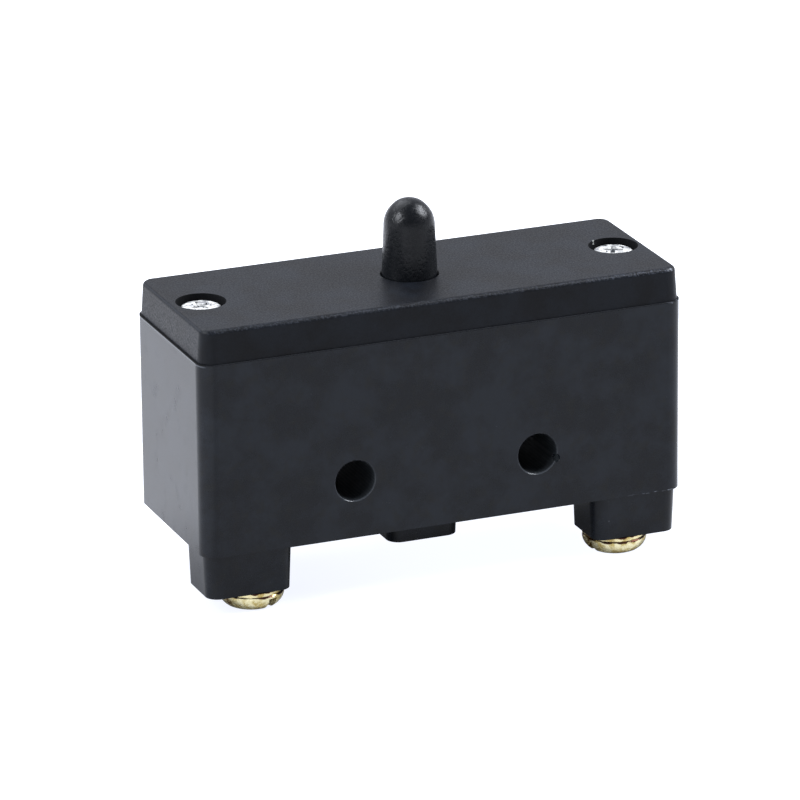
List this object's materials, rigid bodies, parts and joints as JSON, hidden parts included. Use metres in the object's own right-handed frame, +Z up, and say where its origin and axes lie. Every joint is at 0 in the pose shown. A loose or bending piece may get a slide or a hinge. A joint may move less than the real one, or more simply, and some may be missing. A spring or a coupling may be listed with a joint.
{
  "type": "pin plunger limit switch",
  "caption": "Moulded snap-action limit switch with a domed pin plunger, screwed cover, through mounting holes and screw terminals under the body.",
  "frame": {"origin": "on the rear mounting face, midway between the axes of the two mounting holes", "axes": "+X along the body's length, +Y out of the rear face and along the mounting holes, +Z up along the plunger"},
  "size_m": [0.0526, 0.0194, 0.0384],
  "materials": {
    "moulded_base": "black phenolic moulding, satin to glossy",
    "moulded_cover": "black phenolic moulding, fine matt grain",
    "moulded_plunger": "black moulded, satin",
    "brass": "turned or stamped, bare",
    "washer_brass": "stamped, tarnished",
    "screw_brass": "yellow passivated, bright",
    "zinc_steel": "zinc plated, bright",
    "spring_steel": "drawn wire",
    "spring_bronze": "rolled copper alloy sheet",
    "silver": "fine silver rivet, satin"
  },
  "bodies": {
    "housing": {"base_housing": "moulded_base", "top_cover": "moulded_cover", "anchor_bracket": "brass", "bracket_screw": "zinc_steel", "upper_strip": "brass", "upper_contact": "silver", "lower_strip": "brass", "lower_contact": "silver", "cover_screw_left": "zinc_steel", "cover_screw_right": "zinc_steel", "cover_insert_left": "brass", "cover_insert_right": "brass", "terminal_insert_left": "brass", "terminal_washer_left": "washer_brass", "terminal_screw_left": "screw_brass", "terminal_insert_right": "brass", "terminal_washer_right": "washer_brass", "terminal_screw_right": "screw_brass", "terminal_insert_rear": "brass", "terminal_washer_rear": "washer_brass", "terminal_screw_rear": "screw_brass"},
    "plunger": {"plunger": "moulded_plunger", "overtravel_spring": "spring_steel"},
    "inner_pin": {"inner_pin": "brass"},
    "blade": {"contact_blade": "spring_bronze", "moving_contact": "silver"}
  },
  "joints": [
    {"name": "plunger_slide", "type": "slide", "parent": "housing", "child": "plunger", "axis": [0, 0, -1], "range_m": [0, 0.002], "stiffness_N_per_m": 1200, "springref_m": -0.002, "deforming": ["overtravel_spring"]},
    {"name": "pin_slide", "type": "slide", "parent": "housing", "child": "inner_pin", "axis": [0, 0, -1], "range_m": [0, 0.0005]},
    {"name": "blade_hinge", "type": "hinge", "parent": "housing", "child": "blade", "pos_m": [-0.01365, -0.0097, 0.00715], "axis": [0, 1, 0], "range_deg": [0, 2.1]}
  ],
  "couplings": [
    {"joint": "pin_slide", "follows": "plunger_slide", "ratio": 0.25},
    {"joint": "blade_hinge", "follows": "plunger_slide", "rad_per_m": 18.315}
  ]
}
